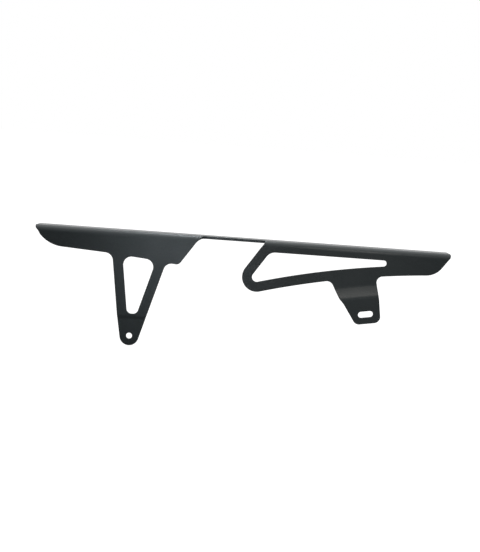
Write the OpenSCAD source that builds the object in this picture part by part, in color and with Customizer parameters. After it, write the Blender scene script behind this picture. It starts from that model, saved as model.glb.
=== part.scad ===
// Motorcycle chain guard: one laser-cut sheet, folded once along its top
// edge and stepped at its two fixing points. Millimetres.
//
// X runs rearwards along the top fold, Y runs inboard towards the chain and
// Z runs up. The origin is the centre of the front bolt hole, on the inner
// face of the front lug, which is the face that sits on the frame.
// Outlines are drawn in the side view as [x, z] pairs.

/* [Sheet] */
// Thickness of the sheet
sheet_t = 3; // [2:0.5:4]
// Inside radius of the fold along the top edge
fold_r = 4; // [3:0.5:6]
// Width over the top flange, from the outer face of the side plate
flange_w = 30; // [22:1:40]
// Radius of the two inboard corners of the flange
flange_corner_r = 3; // [1:0.5:8]

/* [Overall] */
// Height of the flange's top face above the front bolt hole
guard_h = 113.5; // [110:0.5:122]
// Length ahead of the front bolt hole
front_len = 108.8; // [104:0.4:118]
// Length behind the front bolt hole
rear_len = 341.2; // [338:0.4:356]
// Width of the metal left round the windows
band_w = 10.8; // [8:0.2:12]
// Depth of the metal left above the rear window
top_band = 11.9; // [9:0.1:14]

/* [Front section] */
// Drop of the nose's lower corner below the flange's top
nose_drop = 3.5; // [3.4:0.1:4.5]
// Radius of the nose's lower corner
nose_tip_r = 1.5; // [0.5:0.1:2]
// Setback of the nose's curved underside behind the nose
nose_curve_back = 10.4; // [10.2:0.1:13]
// Drop of the underside at the start of its straight run
under_drop = 21; // [18:0.5:23]
// Radius of the nose's curved underside
nose_curve_r = 36.5; // [20:0.5:36.5]
// Distance of the leg's front corner ahead of the bolt hole
leg_front_x = 23.9; // [20:0.1:28]
// Drop of the leg's front corner below the flange's top
leg_front_drop = 25.3; // [23:0.1:28]
// Radius of the fillet ahead of the leg
leg_front_r = 9; // [5:0.5:14]
// Distance of the leg's rear corner behind the bolt hole
leg_rear_x = 34.7; // [31:0.1:38]
// Drop of the leg's rear corner below the flange's top
leg_rear_drop = 31.2; // [29:0.1:34]
// Radius of the fillet behind the leg
leg_rear_r = 8.8; // [4:0.2:10]
// Length of the short shelf behind the leg
shelf_l = 13.7; // [13:0.1:18]
// Drop of the shelf's rear corner below the flange's top
shelf_drop = 32.8; // [31:0.1:35]
// Radius of the shelf's rear corner
shelf_r = 6; // [3:0.5:7]
// Slope of the edge that closes the front section, from level
front_edge_a = 55.6; // [50:0.2:62]

/* [Front lug] */
// Diameter of the front bolt hole
bolt_d = 6.5; // [5.5:0.1:8]
// Outer radius of the lug round the bolt hole
lug_r = 10.4; // [9:0.1:11]
// Height at which the leg's front edge turns in to the lug
lug_turn_z = 22.1; // [19:0.1:26]
// Distance of that turn ahead of the bolt hole
lug_turn_x = 14.6; // [13.5:0.1:16]
// Inboard step of the lug from the side plate
lug_step = 1; // [0.5:0.1:2]
// Height of the middle of that step
lug_step_z = 20.5; // [18:0.5:22]
// Inside radius of the two bends in that step
lug_bend_r = 5; // [3:0.5:6]

/* [Front window] */
// Drop of the window's front top corner below the flange's top
window_front_drop = 26.5; // [24:0.1:30]
// Slope of the window's top edge, downwards to the rear
window_top_a = 5; // [0:0.5:8]
// Height of the window's bottom edge
window_low_z = 24.2; // [23:0.2:30]
// Radius of the window's two top corners
window_top_r = 9; // [4:0.5:10]
// Radius of the window's two bottom corners
window_low_r = 5.6; // [2:0.2:6]

/* [Gap between the sections] */
// Place of the gap's front end along the top edge
gap_front_x = 71; // [70:0.5:76]
// Place of the gap's rear end, level with the flange's underside
gap_rear_x = 138.9; // [120:0.1:146]
// Radius of the fillet at the gap's front end
gap_r = 14.6; // [8:0.2:15]
// Depth at which that fillet runs out level, below the flange's top
gap_fillet_drop = 2.1; // [1:0.1:2.5]

/* [Rear section] */
// Slope of the edge that opens the rear section, from level
rear_edge_a = 56.2; // [52:0.2:62]
// Radius of the long curve along the lower edge
sweep_r = 919; // [880:1:960]
// Place of that curve's highest point
sweep_top_x = 382.4; // [370:0.4:390]
// Drop of that curve's highest point below the flange's top
sweep_drop = 22.4; // [20:0.2:24]
// Outer radius of the loop at the section's front
loop_r = 16; // [13:0.2:18]
// Radius of the rear window's upper front corner
rear_window_r = 11.5; // [4:0.5:14]
// Radius of the rear window's pointed rear end
rear_window_tip_r = 3.3; // [2:0.1:4]
// Slope of the edge that closes the rear end, from level
end_edge_a = 53; // [48:0.5:60]
// Drop of the rear end's lower corner below the flange's top
end_drop = 4.4; // [3:0.1:6]
// Radius of the curve below the rear end
end_curve_r = 22; // [10:0.5:24]
// Radius of the rear end's lower corner
end_tip_r = 3; // [1:0.5:3.5]

/* [Rear tab] */
// Distance of the slot's middle behind the front bolt hole
slot_x = 253.4; // [250:0.2:258]
// Drop of the slot's middle below the flange's top
slot_drop = 71.2; // [68:0.1:75]
// Rise of the slot to the rear, from level
slot_a = 9.4; // [6:0.2:12]
// Width of the slot
slot_w = 6.6; // [5.5:0.1:8]
// Length of the slot over its round ends
slot_l = 16.2; // [12:0.2:18]
// Metal left below the slot's middle line
tab_low = 10.5; // [9:0.1:12]
// Radius of the tab's two bottom corners
tab_corner_r = 7; // [4:0.5:7.5]
// Reach of the tab's bottom edge ahead of the slot's middle
tab_low_front = 11.9; // [11:0.1:14]
// Reach of the tab's bottom edge behind the slot's middle
tab_low_rear = 15.5; // [14:0.1:18]
// Reach of the tab's front edge just below the step
tab_mid_front = 22; // [20:0.2:24]
// Reach of the tab's rear edge at its slight turn
tab_mid_rear = 16.1; // [15.5:0.1:18]
// Reach of the tab's front edge on the step
tab_step_front = 26.3; // [25:0.1:28]
// Forward lean of the tab's front edge above the step, from square to the slot
tab_front_a = 21.4; // [16:0.2:26]
// Forward lean of the tab's rear edge above its slight turn
tab_rear_a = 2.9; // [0:0.1:6]
// Radius of the fillet between the tab's front edge and the plate
tab_front_r = 7.2; // [3:0.2:9]
// Radius of the fillet between the tab's rear edge and the plate
tab_rear_r = 6.5; // [3:0.5:8]
// Outboard step of the tab from the side plate
tab_step = 5; // [3:0.5:8]
// Slope of the step, from the side plate
tab_step_a = 22; // [18:1:26]
// Inside radius of the two bends in the step
tab_bend_r = 8; // [4:0.5:9]
// Height of the step's lower end above the slot's middle line
tab_step_low = 16; // [13:0.5:17]

/* [Hidden] */
$fn = 96;
// Facets of the long curve's circle, which is far larger than the rest
sweep_fn = 720;
// Overrun of cutters past the metal that they cut
over = 5;
// Overlap of two sections that lie in one plane
lap = 1;
// Turns of the tab's edges, from the slot's middle line
tab_turn_front_low = 12;
tab_turn_front_high = 18.3;
tab_turn_rear = 14.5;
// Depth of the tab's outline into the side plate
tab_root = 5;
// Reach of the block that clears the flat sheet behind the stepped tab
tab_clear = 60;
// Growth of a rounding circle past its touch points, so that it meets the sides cleanly
graze = 0.002;

// Faces of the sheet, from the lug's seat at y = 0
plate_in = -lug_step;
plate_out = plate_in - sheet_t;
tab_in = plate_in - tab_step;
fold_or = fold_r + sheet_t;
fold_y = plate_in + fold_r;
flange_z = guard_h - sheet_t;
flange_in = plate_out + flange_w;

// Arc of the lower edge
sweep_c = [sweep_top_x, guard_h - sweep_drop - sweep_r];

// Corners of the front section
nose_tip = [-front_len, guard_h - nose_drop];
nose_curve = [nose_curve_back - front_len, guard_h - under_drop];
leg_front = [-leg_front_x, guard_h - leg_front_drop];
lug_turn = [-lug_turn_x, lug_turn_z];
leg_rear = [leg_rear_x, guard_h - leg_rear_drop];
shelf_rear = [leg_rear_x + shelf_l, guard_h - shelf_drop];
gap_level = guard_h - gap_fillet_drop;
gap_corner = [shelf_rear[0] + (gap_level - shelf_rear[1]) / tan(front_edge_a), gap_level];
lug_front_touch = touch_point(lug_turn, lug_r, 1);
lug_rear_touch = touch_point(leg_rear, lug_r, -1);

// Lines of the front window, set in from the leg's edges
window_front_p = leg_front + band_w * left_of(lug_turn - leg_front);
window_rear_p = leg_rear + band_w * left_of(leg_rear - lug_rear_touch);
window_front_d = lug_turn - leg_front;
window_rear_d = leg_rear - lug_rear_touch;
window_front_low = meet(window_front_p, window_front_d, [0, window_low_z], [1, 0]);
window_rear_low = meet(window_rear_p, window_rear_d, [0, window_low_z], [1, 0]);
window_front_top = meet(window_front_p, window_front_d, [0, guard_h - window_front_drop], [1, 0]);
window_rear_top = meet(window_rear_p, window_rear_d, window_front_top, along(-window_top_a));

// Lines of the rear section
rear_edge_d = along(rear_edge_a);
rear_edge_p = [gap_rear_x, flange_z];
rear_window_p = rear_edge_p - band_w * left_of(rear_edge_d);
rear_window_z = guard_h - top_band;
rear_window_corner = meet(rear_window_p, rear_edge_d, [0, rear_window_z], [1, 0]);
loop_c = on_circle(rear_edge_p - loop_r * left_of(rear_edge_d), rear_edge_d, sweep_c, sweep_r + loop_r, 1);
tip_c = on_circle([0, rear_window_z - rear_window_tip_r], [1, 0], sweep_c,
                  sweep_r + band_w + rear_window_tip_r, -1);
end_tip = [rear_len, guard_h - end_drop];
end_edge_d = along(end_edge_a);
end_c = on_circle(end_tip + end_curve_r * left_of(end_edge_d), end_edge_d, sweep_c,
                  sweep_r + end_curve_r, 1);

// Corners of the rear tab
tab_low_f = tab_point(-tab_low_front, -tab_low);
tab_low_r = tab_point(tab_low_rear, -tab_low);
tab_turn_r = tab_point(tab_mid_rear, tab_turn_rear);
tab_turn_f = tab_point(-tab_step_front, tab_turn_front_high);
tab_shoulder = tab_point(-tab_mid_front, tab_turn_front_low);
tab_front_d = along(slot_a + 90 + tab_front_a);
tab_rear_d = along(slot_a + 90 + tab_rear_a);
tab_root_f = on_circle(tab_turn_f, tab_front_d, sweep_c, sweep_r + tab_root, 1);
tab_root_r = on_circle(tab_turn_r, tab_rear_d, sweep_c, sweep_r + tab_root, 1);
tab_front_c = on_circle(tab_turn_f + tab_front_r * left_of(tab_front_d), tab_front_d,
                        sweep_c, sweep_r - tab_front_r, 1);
tab_rear_c = on_circle(tab_turn_r - tab_rear_r * left_of(tab_rear_d), tab_rear_d,
                       sweep_c, sweep_r - tab_rear_r, 1);

// Rise of the tab's step: two bends and the straight slope between them
tab_bends = 2 * tab_bend_r + sheet_t;
tab_slope_l = (tab_step - tab_bends * (1 - cos(tab_step_a))) / sin(tab_step_a);
tab_step_h = tab_bends * sin(tab_step_a) + tab_slope_l * cos(tab_step_a);

// Slope and rise of the lug's step, whose two bends run into each other
lug_bends = 2 * lug_bend_r + sheet_t;
lug_step_a = acos(1 - lug_step / lug_bends);
lug_step_h = lug_bends * sin(lug_step_a);
// Height of the joint between the plate's section and the lug's
lug_joint_z = lug_step_z + lug_step_h / 2 + over;

// Unit vector along v
function unit(v) = v / norm(v);

// Unit vector at an angle from level
function along(a) = [cos(a), sin(a)];

// Unit vector at a right angle to v, to its left
function left_of(v) = [-v[1], v[0]] / norm(v);

// Crossing of the line through p along d with the line through q along e
function meet(p, d, q, e) =
    p + d * ((q[0] - p[0]) * e[1] - (q[1] - p[1]) * e[0]) / (d[0] * e[1] - d[1] * e[0]);

// Point of the line through p along unit d that lies r from c, on the side given
function on_circle(p, d, c, r, side) =
    let (t = (c - p) * d, h = norm(c - p - t * d))
    p + (t + side * sqrt(r * r - h * h)) * d;

// Point where a line from p touches the circle of radius r round the origin
function touch_point(p, r, side) =
    let (a = atan2(p[1], p[0]) + side * acos(r / norm(p)))
    r * along(a);

// Side-view point from its place in the tab's own tilted axes
function tab_point(u, v) =
    [slot_x, guard_h - slot_drop] + u * along(slot_a) + v * left_of(along(slot_a));

// Foot of the upright from c to the line through p along d
function foot(c, p, d) = p + unit(d) * ((c - p) * unit(d));

// Point of the long curve nearest to c
function sweep_foot(c) = sweep_c + sweep_r * unit(c - sweep_c);

// Area between a corner's two touch points and the arc that rounds it
module corner_area(c, r, a, b, tip) {
    difference() {
        polygon([a, tip, b, c]);
        translate(c) circle(r + graze);
    }
}

// The same between the line through p along unit d and the curve of radius rc
module sweep_corner(c, r, rc, p, d) {
    tip = on_circle(p, d, sweep_c, rc, 1);
    corner_area(c, r, foot(c, p, d), sweep_c + rc * unit(c - sweep_c), tip + unit(tip - c));
}

// True where the path p, q, s turns left at q
function turns_left(p, q, s) = (q[0] - p[0]) * (s[1] - q[1]) - (q[1] - p[1]) * (s[0] - q[0]) > 0;

// Half the angle between the two sides of the corner p, q, s
function half_angle(p, q, s) = acos(unit(p - q) * unit(s - q)) / 2;

// Centre of the arc of radius r that rounds the corner p, q, s
function arc_centre(p, q, s, r) = q + unit(unit(p - q) + unit(s - q)) * r / sin(half_angle(p, q, s));

// Point where that arc touches the side from q to p
function arc_touch(p, q, s, r) = q + unit(p - q) * r / tan(half_angle(p, q, s));

// Polygon whose corners, listed anticlockwise, are rounded by the radii given.
// An inward corner is first cut short by a straight, then hollowed by its circle.
module rounded(points, radii) {
    n = len(points);
    before = [for (i = [0 : n - 1]) points[(i + n - 1) % n]];
    after = [for (i = [0 : n - 1]) points[(i + 1) % n]];
    inward = [for (i = [0 : n - 1]) radii[i] > 0 && !turns_left(before[i], points[i], after[i])];
    difference() {
        polygon([for (i = [0 : n - 1])
            each inward[i] ? [arc_touch(before[i], points[i], after[i], radii[i]),
                              arc_touch(after[i], points[i], before[i], radii[i])]
                           : [points[i]]]);
        for (i = [0 : n - 1]) if (radii[i] > 0) {
            c = arc_centre(before[i], points[i], after[i], radii[i]);
            if (inward[i])
                translate(c) circle(radii[i] + graze);
            else
                corner_area(c, radii[i], arc_touch(before[i], points[i], after[i], radii[i]),
                            arc_touch(after[i], points[i], before[i], radii[i]),
                            points[i] + unit(points[i] - c));
        }
    }
}

// Circle of the long curve, with its radius grown by the amount given
module sweep_disc(grow) {
    translate(sweep_c) circle(sweep_r + grow, $fn = sweep_fn);
}

// Outline of the front section with its leg and lug, from the side
module front_outline() {
    top = guard_h + over;
    difference() {
        union() {
            rounded([[-front_len, top], nose_tip, nose_curve, leg_front, lug_turn,
                     lug_front_touch, lug_rear_touch, leg_rear, shelf_rear, gap_corner,
                     [gap_corner[0] + gap_r, gap_level], [gap_corner[0] + gap_r, top]],
                    [0, nose_tip_r, nose_curve_r, leg_front_r, 0,
                     0, 0, leg_rear_r, shelf_r, gap_r, 0, 0]);
            circle(lug_r + graze);
        }
        translate([gap_front_x, 0]) square([2 * gap_r + over, top + over]);
    }
}

// Front window between the two arms of the leg
module front_window() {
    rounded([window_front_top, window_front_low, window_rear_low, window_rear_top],
            [window_top_r, window_low_r, window_low_r, window_top_r]);
}

// Outline of the rear section above the long curve, from the side
module rear_outline() {
    top = guard_h + over;
    low = loop_c[1] - loop_r - over;
    difference() {
        rounded([meet(rear_edge_p, rear_edge_d, [0, top], [1, 0]),
                 meet(rear_edge_p, rear_edge_d, [0, low], [1, 0]),
                 [meet(end_tip, end_edge_d, [0, low], [1, 0])[0], low],
                 end_tip, [rear_len, top]],
                [0, 0, 0, end_tip_r, 0]);
        sweep_disc(0);
        sweep_corner(loop_c, loop_r, sweep_r, rear_edge_p, rear_edge_d);
        sweep_corner(end_c, end_curve_r, sweep_r, end_tip, end_edge_d);
    }
}

// Long window of the rear section
module rear_window() {
    low = loop_c[1] - loop_r;
    difference() {
        rounded([rear_window_corner, meet(rear_window_p, rear_edge_d, [0, low], [1, 0]),
                 meet(tip_c, sweep_c - tip_c, [0, low], [1, 0]), tip_c, [tip_c[0], rear_window_z]],
                [rear_window_r, 0, 0, 0, 0]);
        sweep_disc(band_w);
        sweep_corner(loop_c, loop_r - band_w, sweep_r + band_w, rear_window_p, rear_edge_d);
    }
    translate(tip_c) circle(rear_window_tip_r + graze);
}

// Outline of the rear tab, with its two fillets to the long curve
module tab_outline() {
    difference() {
        rounded([tab_turn_f, tab_shoulder, tab_low_f, tab_low_r, tab_turn_r,
                 foot(tab_rear_c, tab_turn_r, tab_rear_d), sweep_foot(tab_rear_c),
                 tab_root_r, tab_root_f,
                 sweep_foot(tab_front_c), foot(tab_front_c, tab_turn_f, tab_front_d)],
                [0, 0, tab_corner_r, tab_corner_r, 0, 0, 0, 0, 0, 0, 0]);
        translate(tab_front_c) circle(tab_front_r + graze);
        translate(tab_rear_c) circle(tab_rear_r + graze);
    }
}

// Adjusting slot in the tab
module slot() {
    run = slot_l - slot_w;
    translate(tab_point(0, 0)) rotate(slot_a) {
        square([run, slot_w], center = true);
        for (side = [-1, 1]) translate([side * run / 2, 0]) circle(d = slot_w);
    }
}

// Front section as the laser leaves it
module front_cut() {
    difference() {
        front_outline();
        front_window();
        circle(d = bolt_d);
    }
}

// Rear section as the laser leaves it
module rear_cut() {
    difference() {
        union() {
            rear_outline();
            tab_outline();
        }
        rear_window();
        slot();
    }
}

// Side-view shape given depth along Y, from y0 to y1
module across(y0, y1) {
    translate([0, y1, 0]) rotate([90, 0, 0]) linear_extrude(y1 - y0) children();
}

// Section drawn as [y, z] given length along X, from x0 to x1
module lengthwise(x0, x1) {
    translate([x0, 0, 0]) rotate([90, 0, 90]) linear_extrude(x1 - x0) children();
}

// Side plate and top flange as one folded section, from above the lug's step
module folded_section() {
    lengthwise(-front_len - over, rear_len + over)
        rounded([[plate_out, lug_joint_z], [plate_in, lug_joint_z], [plate_in, flange_z],
                 [flange_in, flange_z], [flange_in, guard_h], [plate_out, guard_h]],
                [0, 0, fold_r, 0, 0, fold_or]);
}

// Stepped section of a fixing: flat above, moved by step below, over the
// height given, with bends of the inside radius given
module stepped_section(step, slope, h, r, y, top, low) {
    mid = h / 2 - (r + sheet_t / 2) * tan(slope / 2);
    shift = sheet_t / 2 * tan(slope / 2) * sign(step);
    rounded([[y - sheet_t, top], [y - sheet_t, mid - shift], [y + step - sheet_t, -mid - shift],
             [y + step - sheet_t, low], [y + step, low], [y + step, -mid + shift],
             [y, mid + shift], [y, top]],
            step < 0 ? [0, r, r + sheet_t, 0, 0, r, r + sheet_t, 0]
                     : [0, r + sheet_t, r, 0, 0, r + sheet_t, r, 0]);
}

// Shape drawn along X and Z, moved to the tab's own tilted axes
module in_tab_axes() {
    translate([slot_x, 0, guard_h - slot_drop]) rotate([0, -slot_a, 0]) children();
}

// The folded and stepped sheet before its outline is cut
module formed_sheet() {
    difference() {
        folded_section();
        in_tab_axes()
            translate([-tab_clear, -tab_clear, -tab_clear])
            cube([2 * tab_clear, 2 * tab_clear, tab_clear + tab_step_low + tab_step_h + lap]);
    }
    lengthwise(-lug_turn_x - over, leg_rear_x)
        translate([0, lug_step_z])
        stepped_section(lug_step, lug_step_a, lug_step_h, lug_bend_r, plate_in,
                        lug_joint_z - lug_step_z + lap, -lug_step_z - lug_r - over);
    in_tab_axes()
        lengthwise(-tab_clear + lap, tab_clear - lap)
        translate([0, tab_step_low + tab_step_h / 2])
        stepped_section(-tab_step, tab_step_a, tab_step_h, tab_bend_r, plate_in,
                        tab_step_h / 2 + 2 * lap, -tab_step_low - tab_step_h / 2 - tab_low - over);
}

// One section of the side plate with its share of the fold
module side_section() {
    intersection() {
        formed_sheet();
        across(tab_in - sheet_t - over, fold_y + lap) children();
    }
}

// Top flange behind the fold, which runs the whole length
module flange() {
    translate([0, 0, flange_z]) linear_extrude(sheet_t)
        rounded([[-front_len, fold_y], [rear_len, fold_y], [rear_len, flange_in], [-front_len, flange_in]],
                [0, 0, flange_corner_r, flange_corner_r]);
}

// The whole guard
module chain_guard() {
    color([0.17, 0.18, 0.19]) {
        side_section() front_cut();
        side_section() rear_cut();
        flange();
    }
}

chain_guard();
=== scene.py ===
# Dressed scene of the chain guard: one bent sheet in the place of the part's solid, its powder
# coat, a pale floor, soft light and the photograph's camera.
import math

import bmesh
import bpy
from mathutils import Matrix, Vector
from mathutils.geometry import tessellate_polygon


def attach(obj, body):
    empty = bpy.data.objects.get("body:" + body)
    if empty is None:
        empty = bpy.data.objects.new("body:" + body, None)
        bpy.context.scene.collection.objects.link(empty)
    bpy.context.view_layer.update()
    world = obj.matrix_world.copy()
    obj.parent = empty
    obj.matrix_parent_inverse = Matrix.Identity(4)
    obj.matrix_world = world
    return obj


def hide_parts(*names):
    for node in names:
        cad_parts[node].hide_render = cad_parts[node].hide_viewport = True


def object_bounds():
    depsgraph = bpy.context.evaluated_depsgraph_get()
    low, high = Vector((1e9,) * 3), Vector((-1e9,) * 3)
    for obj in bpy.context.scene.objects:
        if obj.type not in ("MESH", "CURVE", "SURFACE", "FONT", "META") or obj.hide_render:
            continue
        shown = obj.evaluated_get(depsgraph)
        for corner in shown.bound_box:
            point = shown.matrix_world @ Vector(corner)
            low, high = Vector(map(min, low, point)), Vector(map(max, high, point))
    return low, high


MM = 0.001
WHITE = (1.0, 1.0, 1.0, 1.0)

# View of the photograph: its height in pixels, its scale at the side plate, and the place, in
# millimetres, at its middle
PHOTO_H = 552
MM_PER_PIXEL = 1.08
VIEW_CENTRE = (115.35, -4.0, 73.65)
VIEW_ROLL = math.radians(4.17)
VIEW_DISTANCE = 1700.0
VIEW_RISE = math.radians(5.0)
SENSOR = 36.0

# The sheet and its fold, in millimetres. The blank is drawn flat as (x, s): s is the height up to
# the fold, then the way round the fold's outer face and over the flange.
SHEET = 3.0
LUG_STEP = 1.0
PLATE_OUT = -LUG_STEP - SHEET
TOP = 113.5
FOLD_R = 7.0
FOLD_LOW = TOP - FOLD_R
FOLD_LEN = FOLD_R * math.pi / 2
FOLD_HIGH = FOLD_LOW + FOLD_LEN
FOLD_Y = PLATE_OUT + FOLD_R
FLANGE_FLAT = 23.0
FLANGE_END = FOLD_HIGH + FLANGE_FLAT
FLANGE_R = 3.0
FRONT, REAR = -108.8, 341.2
BAND = 10.8
NOSE_LEAN = 1.2

# How finely the sheet is drawn, in millimetres, and its eased edges
EASE = 0.3
EASE_STEPS = 4
FOLD_CUTS = 18
STEP_CUTS = 7
POINT_GAP = 0.02
SNAP = 2e-3
ARC_STEP = 0.9
ARC_TURN = math.radians(6)
SWEEP_STEP = 3.0

# The coat: (scale, detail) of its three noises and the range of them that is used, its specular
# level, its lowest and highest roughness, its darkest and lightest colour, and its two bumps
PATCH_NOISE, PEEL_NOISE, GRAIN_NOISE = (35.0, 3), (350.0, 2), (900.0, 4)
NOISE_LOW, NOISE_HIGH = 0.3, 0.7
COAT_SPECULAR = 0.5
COAT_ROUGHNESS = (0.34, 0.40)
COAT_DARK = (0.0114, 0.0184, 0.0204, 1.0)
COAT_LIGHT = (0.0172, 0.0256, 0.0280, 1.0)
PEEL_STRENGTH, PEEL_DEPTH = 0.5, 5e-5
GRAIN_STRENGTH, GRAIN_DEPTH = 0.4, 3e-5

# The floor: its grey, its glow to the camera and half its side in metres
FLOOR_GREY = 0.26
FLOOR_GLOW = 0.9
FLOOR_HALF = 40.0

# The soft box, in metres and watts
BOX_PLACE, BOX_AIM = (0.03, 0.25, 1.15), (0.05, 0.0, 0.1)
BOX_SIZE = (0.9, 0.8)
BOX_POWER = 1.8

# The beams: reach and lamp radius in metres, and for each set its aim, its swing and cone in
# degrees, and the rise in degrees and power in watts of each of its lamps
BEAM_REACH = 2.3
BEAM_LAMP_R = 0.06
COOL_TINT = (0.95, 1.04, 1.12)
WARM_TINT = (1.06, 1.0, 0.93)
FRONT_AIM, FRONT_SWING, FRONT_CONE = (0.046, 0.0, 0.103), -2.4, 5.2
FRONT_BEAMS = ((-1, 14.0), (15, 9.0), (33, 9.0), (52, 5.0), (72, 7.0), (95, 16.0), (118, 26.0))
BROAD_AIM, BROAD_SWING, BROAD_CONE = (0.2, 0.0, 0.09), 3.0, 12.0
BROAD_BEAMS = ((-1, 3.5), (14, 2.0))
TAB_AIM, TAB_SWING, TAB_CONE = (0.235, -0.007, 0.062), 4.2, 3.4
TAB_BEAMS = {"low": (36.0, 9.0), "high": (48.0, 24.0)}

# Glow of the room by angle from the front horizon over the top to the back one, in degrees
ROOM_GLOW = ((0, 0.17), (15, 0.23), (30, 0.45), (45, 0.8), (60, 0.9), (80, 1.15), (120, 1.15),
             (150, 1.15), (180, 1.1))


def along(degrees):
    a = math.radians(degrees)
    return Vector((math.cos(a), math.sin(a)))


# Front section. A turn is a corner of the outline before it is rounded; points are (x, height).
NOSE_DROP, NOSE_TIP_R = 3.7, 1.2
NOSE_TURN, NOSE_R = Vector((FRONT + 15.6, TOP - 21.2)), 36.0
LEG_FRONT, LEG_FRONT_R = Vector((-23.9, TOP - 25.3)), 9.0
LEG_REAR, LEG_REAR_R = Vector((34.7, TOP - 31.2)), 8.8
LUG_TURN, LUG_R = Vector((-14.6, 22.1)), 10.4
LUG_STEP_MIDDLE, LUG_BEND_R = 20.5, 5.0
HOLE_R = 3.25
SHELF, SHELF_R = Vector((LEG_REAR.x + 13.7, TOP - 32.8)), 6.0
FRONT_EDGE = along(55.6)
WINDOW_HIGH, WINDOW_LOW = TOP - 26.5, 24.2
WINDOW_TOP_LEAN = -5.0
WINDOW_TOP_R, WINDOW_LOW_R = 9.0, 5.6

# Gap and rear section, with the swept curve that its underside and its window share
SWEEP_R = 919.0
SWEEP_C = Vector((380.2, TOP - 22.65 - SWEEP_R))
GAP_FRONT_R, GAP_REAR_R = 7.0, 1.0
GAP_REAR = 140.4
REAR_EDGE, REAR_EDGE_P = along(56.2), Vector((138.9, TOP - SHEET))
REAR_EDGE_RISE = 4.3
LOOP_R = 16.0
SLIT_TOP, SLIT_R, SLIT_CORNER_R = TOP - 11.9, 3.3, 11.5
END_TIP, END_TIP_R = Vector((REAR, TOP - 4.8)), 3.0
END_LEAN, END_R = 51.3, 22.0

# Tab: points along and square to the slot, from its middle; leans are from square to the slot
SLOT_C = Vector((253.4, TOP - 71.2))
SLOT_TILT = 9.4
TAB_FRONT_TURN, TAB_FRONT_LEAN, TAB_FRONT_R = (-25.8, 18.3), 21.4, 7.2
TAB_REAR_TURN, TAB_REAR_LEAN, TAB_REAR_R = (16.1, 14.5), 2.9, 6.5
TAB_CORNERS, TAB_R = ((-22, 12), (-11.8, -10.3), (15.5, -10.3)), 7.0
SLOT_L, SLOT_W = 16.2, 6.6
TAB_FROM_X = 200.0

# The tab's step: how far it steps out, the height of its foot above the slot's middle, the inner
# radius of its bends, and the slopes of its face at the top and at the foot, in degrees
TAB_STEP, TAB_STEP_FOOT, TAB_BEND_R = 5.0, 16.0, 8.0
TAB_SLOPES = (18.0, 25.5)


def keep_size():
    """Lowest and highest corner of all that shows, as plain lists."""
    return [list(corner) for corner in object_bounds()]


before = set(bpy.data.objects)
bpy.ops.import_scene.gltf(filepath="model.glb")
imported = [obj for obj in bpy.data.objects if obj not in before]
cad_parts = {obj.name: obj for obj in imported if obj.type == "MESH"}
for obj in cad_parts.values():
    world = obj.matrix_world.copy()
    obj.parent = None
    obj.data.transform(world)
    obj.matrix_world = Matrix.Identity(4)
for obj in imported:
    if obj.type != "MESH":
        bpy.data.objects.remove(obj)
cad_box = keep_size()


def left_of(v):
    return Vector((-v.y, v.x)).normalized()


def cross(a, b):
    return a.x * b.y - a.y * b.x


def meet(p, d, q, e):
    """Crossing of the line through p along d with the line through q along e."""
    return p + d * (cross(q - p, e) / cross(d, e))


def on_circle(p, d, c, r, side):
    """Point of the line through p along d that lies r from c, on the side given."""
    d = d.normalized()
    t = (c - p).dot(d)
    h = (c - p - t * d).length
    return p + (t + side * math.sqrt(r * r - h * h)) * d


def foot(c, p, d):
    d = d.normalized()
    return p + (c - p).dot(d) * d


def turn(c, p, q, step=ARC_STEP):
    """Arc round c from p to q, the shorter way, with both ends in."""
    r = (p - c).length
    a0 = math.atan2(p.y - c.y, p.x - c.x)
    a1 = math.atan2(q.y - c.y, q.x - c.x)
    sweep = (a1 - a0 + math.pi) % (2 * math.pi) - math.pi
    n = max(2, math.ceil(abs(sweep) * r / step), math.ceil(abs(sweep) / ARC_TURN))
    angles = [a0 + sweep * i / n for i in range(n + 1)]
    return [c + r * Vector((math.cos(a), math.sin(a))) for a in angles]


def rounded(points, radii):
    """Closed path through the corners, each rounded by its radius."""
    out = []
    for i, (q, r) in enumerate(zip(points, radii)):
        if r == 0:
            out.append(q.copy())
            continue
        a = (points[i - 1] - q).normalized()
        b = (points[(i + 1) % len(points)] - q).normalized()
        half = a.angle(b) / 2
        c = q + (a + b).normalized() * (r / math.sin(half))
        reach = r / math.tan(half)
        out += turn(c, q + a * reach, q + b * reach)
    return out


def circle(c, r):
    n = 2 * math.ceil(math.pi / ARC_TURN)
    return [c + r * along(360 * i / n) for i in range(n)]


def sweep_foot(c):
    """Point of the swept curve nearest c."""
    return SWEEP_C + SWEEP_R * (c - SWEEP_C).normalized()


def tab_point(u, v):
    """Point u along the slot from its middle and v square to it."""
    axis = along(SLOT_TILT)
    return SLOT_C + u * axis + v * left_of(axis)


def into_fold(p):
    """A side-view point of an edge that is seen by its inner corner, laid into the blank."""
    rise = (p.y - FOLD_LOW) / (FOLD_R - SHEET)
    if rise <= 0:
        return p
    return Vector((p.x, FOLD_LOW + FOLD_LEN * math.asin(min(1.0, rise)) / (math.pi / 2)))


def lug_touch(p, side):
    """Where the line from p touches the lug's round end."""
    a = math.atan2(p.y, p.x) + side * math.acos(LUG_R / p.length)
    return LUG_R * Vector((math.cos(a), math.sin(a)))


def nose_and_lug():
    """The outline from the fold's front end over the nose and the leg, round the lug."""
    tip = Vector((FRONT, TOP - NOSE_DROP))
    nose = rounded([Vector((FRONT + NOSE_LEAN, TOP)), tip, NOSE_TURN, LEG_FRONT, LUG_TURN],
                   [0, NOSE_TIP_R, NOSE_R, LEG_FRONT_R, 0])[1:]
    centre, low = Vector((0, 0)), Vector((0, -LUG_R))
    lug = turn(centre, lug_touch(LUG_TURN, 1), low)[:-1]
    return [into_fold(p) for p in nose] + lug + turn(centre, low, lug_touch(LEG_REAR, -1))


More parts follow.
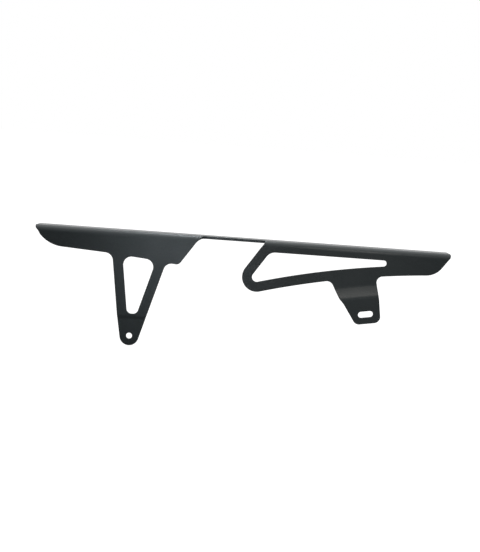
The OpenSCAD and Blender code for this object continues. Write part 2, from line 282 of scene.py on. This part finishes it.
def loop_centre():
    """Centre of the loop, which rounds the rear section's front edge into the swept curve."""
    return on_circle(REAR_EDGE_P - LOOP_R * left_of(REAR_EDGE), REAR_EDGE,
                     SWEEP_C, SWEEP_R + LOOP_R, 1)


def gap_and_loop():
    """On from the lug over the shelf, across the gap and round the loop to the swept curve."""
    level = Vector((1, 0))
    gap_front = meet(SHELF, FRONT_EDGE, Vector((0, FOLD_HIGH)), level)
    gap_rear = Vector((GAP_REAR, FOLD_HIGH))
    rear_low = meet(REAR_EDGE_P, REAR_EDGE, Vector((0, FOLD_LOW + REAR_EDGE_RISE)), level)
    c = loop_centre()
    gap = rounded([lug_touch(LEG_REAR, -1), LEG_REAR, SHELF, gap_front, gap_rear, rear_low,
                   foot(c, REAR_EDGE_P, REAR_EDGE)],
                  [0, LEG_REAR_R, SHELF_R, GAP_FRONT_R, GAP_REAR_R, 0, 0])[1:]
    return gap + turn(c, gap[-1], sweep_foot(c))[1:]


def tab_and_end(start):
    """On from start along the swept curve, round the tab and up the slanted rear end."""
    front_turn, rear_turn = tab_point(*TAB_FRONT_TURN), tab_point(*TAB_REAR_TURN)
    front_d = along(SLOT_TILT + 90 + TAB_FRONT_LEAN)
    rear_d = along(SLOT_TILT + 90 + TAB_REAR_LEAN)
    front_c = on_circle(front_turn + TAB_FRONT_R * left_of(front_d), front_d,
                        SWEEP_C, SWEEP_R - TAB_FRONT_R, 1)
    rear_c = on_circle(rear_turn - TAB_REAR_R * left_of(rear_d), rear_d,
                       SWEEP_C, SWEEP_R - TAB_REAR_R, 1)
    front_foot, rear_foot = foot(front_c, front_turn, front_d), foot(rear_c, rear_turn, rear_d)
    end_d = along(END_LEAN)
    end_c = on_circle(END_TIP + END_R * left_of(end_d), end_d, SWEEP_C, SWEEP_R + END_R, 1)

    before = turn(SWEEP_C, start, sweep_foot(front_c), SWEEP_STEP)[1:]
    before += turn(front_c, before[-1], front_foot)[1:]
    tab = rounded([front_foot, front_turn] + [tab_point(*p) for p in TAB_CORNERS]
                  + [rear_turn, rear_foot], [0, 0, 0, TAB_R, TAB_R, 0, 0])[1:]
    after = turn(rear_c, rear_foot, sweep_foot(rear_c))[1:]
    after += turn(SWEEP_C, after[-1], sweep_foot(end_c), SWEEP_STEP)[1:]
    after += turn(end_c, after[-1], foot(end_c, END_TIP, end_d))[1:]
    end = rounded([after[-1], END_TIP, Vector((REAR, TOP))], [0, END_TIP_R, 0])[1:-1]
    return before + tab + after + [into_fold(p) for p in end]


def blank_outline():
    """Outline of the blank in (x, s), from the fold's front end under the sections and back."""
    front, rear = FRONT + NOSE_LEAN, REAR - NOSE_LEAN
    flange = rounded([Vector((rear, FOLD_HIGH)), Vector((rear, FLANGE_END)),
                      Vector((front, FLANGE_END)), Vector((front, FOLD_HIGH))],
                     [0, FLANGE_R, FLANGE_R, 0])
    low = nose_and_lug() + gap_and_loop()
    return low + tab_and_end(low[-1]) + flange


def front_window():
    """Window of the front leg, a band inside the leg's two edges."""
    lug_b = lug_touch(LEG_REAR, -1)
    front_p = LEG_FRONT + BAND * left_of(LUG_TURN - LEG_FRONT)
    rear_p = LEG_REAR + BAND * left_of(LEG_REAR - lug_b)
    front_d, rear_d, level = LUG_TURN - LEG_FRONT, LEG_REAR - lug_b, Vector((1, 0))
    front_top = meet(front_p, front_d, Vector((0, WINDOW_HIGH)), level)
    low = Vector((0, WINDOW_LOW))
    return rounded([front_top, meet(front_p, front_d, low, level), meet(rear_p, rear_d, low, level),
                    meet(rear_p, rear_d, front_top, along(WINDOW_TOP_LEAN))],
                   [WINDOW_TOP_R, WINDOW_LOW_R, WINDOW_LOW_R, WINDOW_TOP_R])


def rear_window():
    """Window of the rear section, a band inside its front edge, the loop and the swept curve."""
    line_p = REAR_EDGE_P - BAND * left_of(REAR_EDGE)
    tip_c = on_circle(Vector((0, SLIT_TOP - SLIT_R)), Vector((1, 0)),
                      SWEEP_C, SWEEP_R + BAND + SLIT_R, -1)
    tip_low = tip_c + SLIT_R * (SWEEP_C - tip_c).normalized()
    tip_high = tip_c + Vector((0, SLIT_R))
    right = tip_c + Vector((SLIT_R, 0))
    c = loop_centre()
    loop_a = foot(c, line_p, REAR_EDGE)
    loop_b = c + (LOOP_R - BAND) * (SWEEP_C - c).normalized()
    corner = meet(line_p, REAR_EDGE, Vector((0, SLIT_TOP)), Vector((1, 0)))
    head = rounded([tip_high, corner, loop_a], [0, SLIT_CORNER_R, 0])[1:-1]
    return (head + turn(c, loop_a, loop_b) + turn(SWEEP_C, loop_b, tip_low, SWEEP_STEP)[1:]
            + turn(tip_c, tip_low, right)[1:] + turn(tip_c, right, tip_high)[1:])


def slot_hole():
    run, r = (SLOT_L - SLOT_W) / 2, SLOT_W / 2
    ends = []
    for side in (1, -1):
        c = tab_point(side * run, 0)
        a, b = tab_point(side * run, -side * r), tab_point(side * run, side * r)
        mid = tab_point(side * (run + r), 0)
        ends += turn(c, a, mid)[:-1] + turn(c, mid, b)
    return ends


def tidy_loop(points, anticlockwise):
    """Drops doubled points and turns the loop the way asked."""
    kept = []
    for p in points:
        if not kept or (p - kept[-1]).length > POINT_GAP:
            kept.append(p)
    if (kept[0] - kept[-1]).length < POINT_GAP:
        kept.pop()
    area = sum(cross(a, b) for a, b in zip(kept, kept[1:] + kept[:1]))
    return kept if (area > 0) == anticlockwise else kept[::-1]


def inset(loop):
    """For each point, the step that sets both its edges in by one, and the way out."""
    steps = []
    for i, p in enumerate(loop):
        a = left_of(p - loop[i - 1])
        b = left_of(loop[(i + 1) % len(loop)] - p)
        steps.append(((a + b) / (1 + a.dot(b)), -(a + b).normalized()))
    return steps


def ease_rings():
    """(inset, depth, lean out, lean up) of each ring round a cut edge, from the outer face in."""
    rings = []
    for i in range(EASE_STEPS + 1):
        a = math.pi / 2 * i / EASE_STEPS
        out, up = math.sin(a), -math.cos(a)
        rings.append((EASE * (1 - out), EASE * (1 + up), out, up))
    return rings + [(inward, SHEET - depth, lean, -up) for inward, depth, lean, up in rings[::-1]]


def flat_sheet():
    """The blank as a closed sheet with eased edges, in (x, s, depth)."""
    loops = [tidy_loop(blank_outline(), True)]
    bolt_hole = circle(Vector((0, 0)), HOLE_R)
    loops += [tidy_loop(h, False)
              for h in (front_window(), rear_window(), bolt_hole, slot_hole())]
    bm = bmesh.new()
    normal = bm.verts.layers.float_vector.new("sheet_normal")
    rings = ease_rings()
    first, last, outline = [], [], []
    for loop in loops:
        made = []
        steps = inset(loop)
        for inward, depth, lean, up in rings:
            row = []
            for p, (step, out) in zip(loop, steps):
                q = p + inward * step
                v = bm.verts.new((q.x, q.y, depth))
                v[normal] = Vector((out.x * lean, out.y * lean, up))
                row.append(v)
            made.append(row)
        n = len(loop)
        for a, b in zip(made, made[1:]):
            for i in range(n):
                j = (i + 1) % n
                bm.faces.new((a[i], a[j], b[j], b[i]))
        first += made[0]
        last += made[-1]
        outline.append([v.co.copy() for v in made[0]])
    for tri in tessellate_polygon(outline):
        a, b, c = (first[i] for i in tri)
        if cross((b.co - a.co).xy, (c.co - a.co).xy) < 0:
            tri = tri[::-1]
        bm.faces.new([first[i] for i in tri][::-1])
        bm.faces.new([last[i] for i in tri])
    return bm, normal


def step_curve(top, r_high, r_low, slopes, shift):
    """Side curve of a step from its top end down: (bend limits, function giving the shift and its
    slope at a height). The face between the bends runs from the first slope to the second."""
    a, b = slopes
    sign = math.copysign(1, shift)
    high_drop, low_drop = r_high * (1 - math.cos(a)), r_low * (1 - math.cos(b))
    face_drop = abs(shift) - high_drop - low_drop
    face_r = face_drop / (math.cos(a) - math.cos(b)) if b > a else 0.0
    face_top = top - r_high * math.sin(a)
    face_low = face_top - face_r * (math.sin(b) - math.sin(a))
    bottom = face_low - r_low * math.sin(b)

    def at(v):
        if v >= top:
            return 0.0, 0.0
        if v > face_top:
            turned = math.asin((top - v) / r_high)
            drop = r_high * (1 - math.cos(turned))
        elif v > face_low:
            turned = math.asin(math.sin(a) + (face_top - v) / face_r)
            drop = high_drop + face_r * (math.cos(a) - math.cos(turned))
        elif v > bottom:
            turned = math.asin((v - bottom) / r_low)
            drop = abs(shift) - r_low * (1 - math.cos(turned))
        else:
            return shift, 0.0
        return sign * drop, -sign * math.tan(turned)

    ends = (top, face_top, bottom) if a == b else (top, face_top, face_low, bottom)
    cuts = [top]
    for p, q in zip(ends, ends[1:]):
        cuts += [p + (q - p) * (i + 1) / STEP_CUTS for i in range(STEP_CUTS)]
    return cuts, at


def lug_curve():
    """The slight step inboard at the foot of the front window."""
    r = LUG_BEND_R
    slope = math.acos(1 - LUG_STEP / (2 * r + SHEET))
    height = (2 * r + SHEET) * math.sin(slope)
    return step_curve(LUG_STEP_MIDDLE + height / 2, r + SHEET, r, (slope, slope), LUG_STEP)


def tab_curve():
    """The step outboard above the slot, at heights square to the slot."""
    r = TAB_BEND_R
    a, b = math.radians(TAB_SLOPES[0]), math.radians(TAB_SLOPES[1])
    face_drop = TAB_STEP - r * (1 - math.cos(a)) - (r + SHEET) * (1 - math.cos(b))
    face = face_drop / (math.cos(a) - math.cos(b)) * (math.sin(b) - math.sin(a))
    top = TAB_STEP_FOOT + r * math.sin(a) + face + (r + SHEET) * math.sin(b)
    return step_curve(top, r, r + SHEET, (a, b), -TAB_STEP)


def cut_at_bends(bm):
    """Puts lines of points along the fold and both steps, where the blank is bent."""
    def cut(place, way, faces):
        verts = list({v for f in faces for v in f.verts})
        edges = list({e for f in faces for e in f.edges})
        bmesh.ops.bisect_plane(bm, geom=verts + edges + faces, dist=SNAP,
                               plane_co=(*place, 0), plane_no=(*way, 0))

    for i in range(FOLD_CUTS + 1):
        cut((0, FOLD_LOW + FOLD_LEN * i / FOLD_CUTS), (0, 1), list(bm.faces))
    for v in lug_curve()[0]:
        cut((0, v), (0, 1), list(bm.faces))
    way = left_of(along(SLOT_TILT))
    for v in tab_curve()[0]:
        near = [f for f in bm.faces if max(p.co.x for p in f.verts) > TAB_FROM_X]
        cut(tab_point(0, v), way, near)
    bmesh.ops.remove_doubles(bm, verts=list(bm.verts), dist=SNAP)


def bent(p, n, lug, tab):
    """Place and normal, once bent, of the blank's point p and its normal n."""
    x, s, depth = p
    if s > FOLD_LOW:
        a = min((s - FOLD_LOW) / FOLD_LEN, 1) * math.pi / 2
        up = Vector((0, math.sin(a), math.cos(a)))
        inward = Vector((0, math.cos(a), -math.sin(a)))
        centre = Vector((x, FOLD_Y, FOLD_LOW))
        place = centre - (FOLD_R - depth) * inward + max(s - FOLD_HIGH, 0) * up
        return place, n.x * Vector((1, 0, 0)) + n.y * up + n.z * inward
    if x > TAB_FROM_X:
        level = along(SLOT_TILT)
        shift, slope = tab((Vector((x, s)) - SLOT_C).dot(left_of(level)))
    else:
        level = along(0)
        shift, slope = lug(s)
    upright = left_of(level)
    k = 1 / math.sqrt(1 + slope * slope)
    side = Vector((level.x, 0, level.y))
    up = Vector((upright.x, 0, upright.y))
    rise = k * (up + Vector((0, slope, 0)))
    inward = k * (Vector((0, 1, 0)) - slope * up)
    across = n.x * level.x + n.y * level.y
    upwards = n.x * upright.x + n.y * upright.y
    return (Vector((x, PLATE_OUT + shift, s)) + depth * inward,
            across * side + upwards * rise + n.z * inward)


def make_guard(mat):
    """The guard as one bent sheet with eased edges, in the place of the CAD's part."""
    bm, sheet_normal = flat_sheet()
    cut_at_bends(bm)
    lug, tab = lug_curve()[1], tab_curve()[1]
    normals = []
    for v in bm.verts:
        place, normal = bent(v.co, v[sheet_normal], lug, tab)
        v.co = MM * place
        normals.append(normal.normalized())
    bmesh.ops.reverse_faces(bm, faces=list(bm.faces))
    for f in bm.faces:
        f.smooth = True
    bm.verts.layers.float_vector.remove(sheet_normal)
    me = bpy.data.meshes.new("guard_sheet")
    bm.to_mesh(me)
    bm.free()
    me.normals_split_custom_set_from_vertices(normals)
    me.materials.append(mat)
    piece = bpy.data.objects.new("guard_sheet", me)
    bpy.context.scene.collection.objects.link(piece)
    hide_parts("chain_guard")
    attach(piece, "root")


def add_camera():
    """The photograph's camera, rolled and a little above the level of what it looks at."""
    right = Vector((math.cos(VIEW_ROLL), 0, math.sin(VIEW_ROLL)))
    level_up = Vector((-math.sin(VIEW_ROLL), 0, math.cos(VIEW_ROLL)))
    back = math.cos(VIEW_RISE) * Vector((0, -1, 0)) + math.sin(VIEW_RISE) * level_up
    up = back.cross(right)
    place = MM * (Vector(VIEW_CENTRE) + VIEW_DISTANCE * back)
    data = bpy.data.cameras.new("camera")
    data.sensor_width = SENSOR
    data.lens = SENSOR * VIEW_DISTANCE / (MM_PER_PIXEL * PHOTO_H)
    cam = bpy.data.objects.new("camera", data)
    cam.matrix_world = Matrix.Translation(place) @ Matrix((right, up, back)).transposed().to_4x4()
    bpy.context.scene.collection.objects.link(cam)
    bpy.context.scene.camera = cam


def new_material(name):
    mat = bpy.data.materials.new(name)
    mat.use_nodes = True
    mat.node_tree.nodes.clear()
    return mat, mat.node_tree.nodes, mat.node_tree.links


def powder_coat():
    """Satin black powder coat: fine orange peel, slightly uneven gloss and tint."""
    mat, nodes, links = new_material("satin_black_powder_coat")
    out = nodes.new("ShaderNodeOutputMaterial")
    bsdf = nodes.new("ShaderNodeBsdfPrincipled")
    bsdf.inputs["Specular IOR Level"].default_value = COAT_SPECULAR
    links.new(bsdf.outputs["BSDF"], out.inputs["Surface"])
    place = nodes.new("ShaderNodeTexCoord")

    def noise(scale, detail):
        node = nodes.new("ShaderNodeTexNoise")
        node.inputs["Scale"].default_value = scale
        node.inputs["Detail"].default_value = detail
        links.new(place.outputs["Object"], node.inputs["Vector"])
        return node.outputs["Fac"]

    def spread(value, low, high):
        node = nodes.new("ShaderNodeMapRange")
        node.inputs["From Min"].default_value = NOISE_LOW
        node.inputs["From Max"].default_value = NOISE_HIGH
        node.inputs["To Min"].default_value = low
        node.inputs["To Max"].default_value = high
        links.new(value, node.inputs["Value"])
        return node.outputs["Result"]

    links.new(spread(noise(*PATCH_NOISE), *COAT_ROUGHNESS), bsdf.inputs["Roughness"])

    tint = nodes.new("ShaderNodeMix")
    tint.data_type = "RGBA"
    tint.inputs["A"].default_value = COAT_DARK
    tint.inputs["B"].default_value = COAT_LIGHT
    links.new(spread(noise(*GRAIN_NOISE), 0, 1), tint.inputs["Factor"])
    links.new(tint.outputs["Result"], bsdf.inputs["Base Color"])

    peel = nodes.new("ShaderNodeBump")
    peel.inputs["Strength"].default_value = PEEL_STRENGTH
    peel.inputs["Distance"].default_value = PEEL_DEPTH
    links.new(noise(*PEEL_NOISE), peel.inputs["Height"])
    grain = nodes.new("ShaderNodeBump")
    grain.inputs["Strength"].default_value = GRAIN_STRENGTH
    grain.inputs["Distance"].default_value = GRAIN_DEPTH
    links.new(noise(*GRAIN_NOISE), grain.inputs["Height"])
    links.new(peel.outputs["Normal"], grain.inputs["Normal"])
    links.new(grain.outputs["Normal"], bsdf.inputs["Normal"])
    return mat


def add_floor():
    mat, nodes, links = new_material("pale_floor")
    out = nodes.new("ShaderNodeOutputMaterial")
    diffuse = nodes.new("ShaderNodeBsdfDiffuse")
    diffuse.inputs["Color"].default_value = (*[FLOOR_GREY] * 3, 1)
    glow = nodes.new("ShaderNodeEmission")
    glow.inputs["Color"].default_value = WHITE
    path = nodes.new("ShaderNodeLightPath")
    scale = nodes.new("ShaderNodeMath")
    scale.operation = "MULTIPLY"
    scale.inputs[1].default_value = FLOOR_GLOW
    links.new(path.outputs["Is Camera Ray"], scale.inputs[0])
    links.new(scale.outputs[0], glow.inputs["Strength"])
    both = nodes.new("ShaderNodeAddShader")
    links.new(diffuse.outputs[0], both.inputs[0])
    links.new(glow.outputs[0], both.inputs[1])
    links.new(both.outputs[0], out.inputs["Surface"])
    low, half = cad_box[0][2], FLOOR_HALF
    me = bpy.data.meshes.new("floor")
    me.from_pydata([(-half, -half, low), (half, -half, low), (half, half, low), (-half, half, low)],
                   [], [(0, 1, 2, 3)])
    me.materials.append(mat)
    floor = bpy.data.objects.new("floor", me)
    bpy.context.scene.collection.objects.link(floor)


def add_box(name):
    """The soft box above and behind the guard."""
    data = bpy.data.lights.new(name, "AREA")
    data.shape = "RECTANGLE"
    data.size, data.size_y = BOX_SIZE
    data.energy = BOX_POWER
    lamp = bpy.data.objects.new(name, data)
    lamp.location = BOX_PLACE
    lamp.rotation_mode = "QUATERNION"
    lamp.rotation_quaternion = (Vector(BOX_AIM) - Vector(BOX_PLACE)).to_track_quat("-Z", "Y")
    bpy.context.scene.collection.objects.link(lamp)


def add_beam(name, aim, swing, rise, cone, power, tint=(1, 1, 1)):
    """A narrow beam on aim, its lamp swung and raised from the front by angles in degrees."""
    data = bpy.data.lights.new(name, "SPOT")
    data.spot_size = math.radians(cone)
    data.spot_blend = 1.0
    data.shadow_soft_size = BEAM_LAMP_R
    data.energy = power
    data.color = tint
    swing, rise = math.radians(swing), math.radians(rise)
    level = Vector((math.sin(swing), -math.cos(swing), 0))
    out = math.cos(rise) * level + math.sin(rise) * Vector((0, 0, 1))
    lamp = bpy.data.objects.new(name, data)
    lamp.location = Vector(aim) + BEAM_REACH * out
    lamp.rotation_mode = "QUATERNION"
    lamp.rotation_quaternion = out.to_track_quat("Z", "Y")
    bpy.context.scene.collection.objects.link(lamp)


def add_world():
    """A white room to the camera; to all else a soft glow, brightest overhead and dim in front."""
    world = bpy.data.worlds.new("studio")
    world.use_nodes = True
    bpy.context.scene.world = world
    nodes, links = world.node_tree.nodes, world.node_tree.links
    nodes.clear()

    def math_node(operation, a, b):
        node = nodes.new("ShaderNodeMath")
        node.operation = operation
        for socket, value in zip(node.inputs, (a, b)):
            if isinstance(value, float):
                socket.default_value = value
            else:
                links.new(value, socket)
        return node.outputs[0]

    out = nodes.new("ShaderNodeOutputWorld")
    back = nodes.new("ShaderNodeBackground")
    path = nodes.new("ShaderNodeLightPath")
    place = nodes.new("ShaderNodeTexCoord")
    axes = nodes.new("ShaderNodeSeparateXYZ")
    links.new(place.outputs["Generated"], axes.inputs[0])
    front = math_node("MULTIPLY", axes.outputs["Y"], -1.0)
    over = math_node("DIVIDE", math_node("ARCTAN2", axes.outputs["Z"], front), math.pi)
    ramp = nodes.new("ShaderNodeValToRGB")
    ramp.color_ramp.interpolation = "EASE"
    marks = ramp.color_ramp.elements
    while len(marks) < len(ROOM_GLOW):
        marks.new(0.5)
    brightest = max(glow for degrees, glow in ROOM_GLOW)
    for mark, (degrees, glow) in zip(marks, ROOM_GLOW):
        mark.position = degrees / 180
        mark.color = (*[glow / brightest] * 3, 1)
    links.new(over, ramp.inputs["Fac"])
    room = math_node("MULTIPLY", ramp.outputs["Color"], brightest)
    strength = nodes.new("ShaderNodeMix")
    links.new(path.outputs["Is Camera Ray"], strength.inputs["Factor"])
    links.new(room, strength.inputs["A"])
    strength.inputs["B"].default_value = 1.0
    links.new(strength.outputs["Result"], back.inputs["Strength"])
    back.inputs["Color"].default_value = WHITE
    links.new(back.outputs[0], out.inputs["Surface"])


add_camera()
make_guard(powder_coat())
add_floor()
add_box("top_box")
for i, (rise, power) in enumerate(FRONT_BEAMS):
    add_beam(f"front_beam_{i}", FRONT_AIM, FRONT_SWING, rise, FRONT_CONE, power, COOL_TINT)
for i, (rise, power) in enumerate(BROAD_BEAMS):
    add_beam(f"broad_beam_{i}", BROAD_AIM, BROAD_SWING, rise, BROAD_CONE, power)
for level, (rise, power) in TAB_BEAMS.items():
    add_beam(f"tab_beam_{level}", TAB_AIM, TAB_SWING, rise, TAB_CONE, power, WARM_TINT)
add_world()
bpy.context.scene.view_settings.view_transform = "Standard"
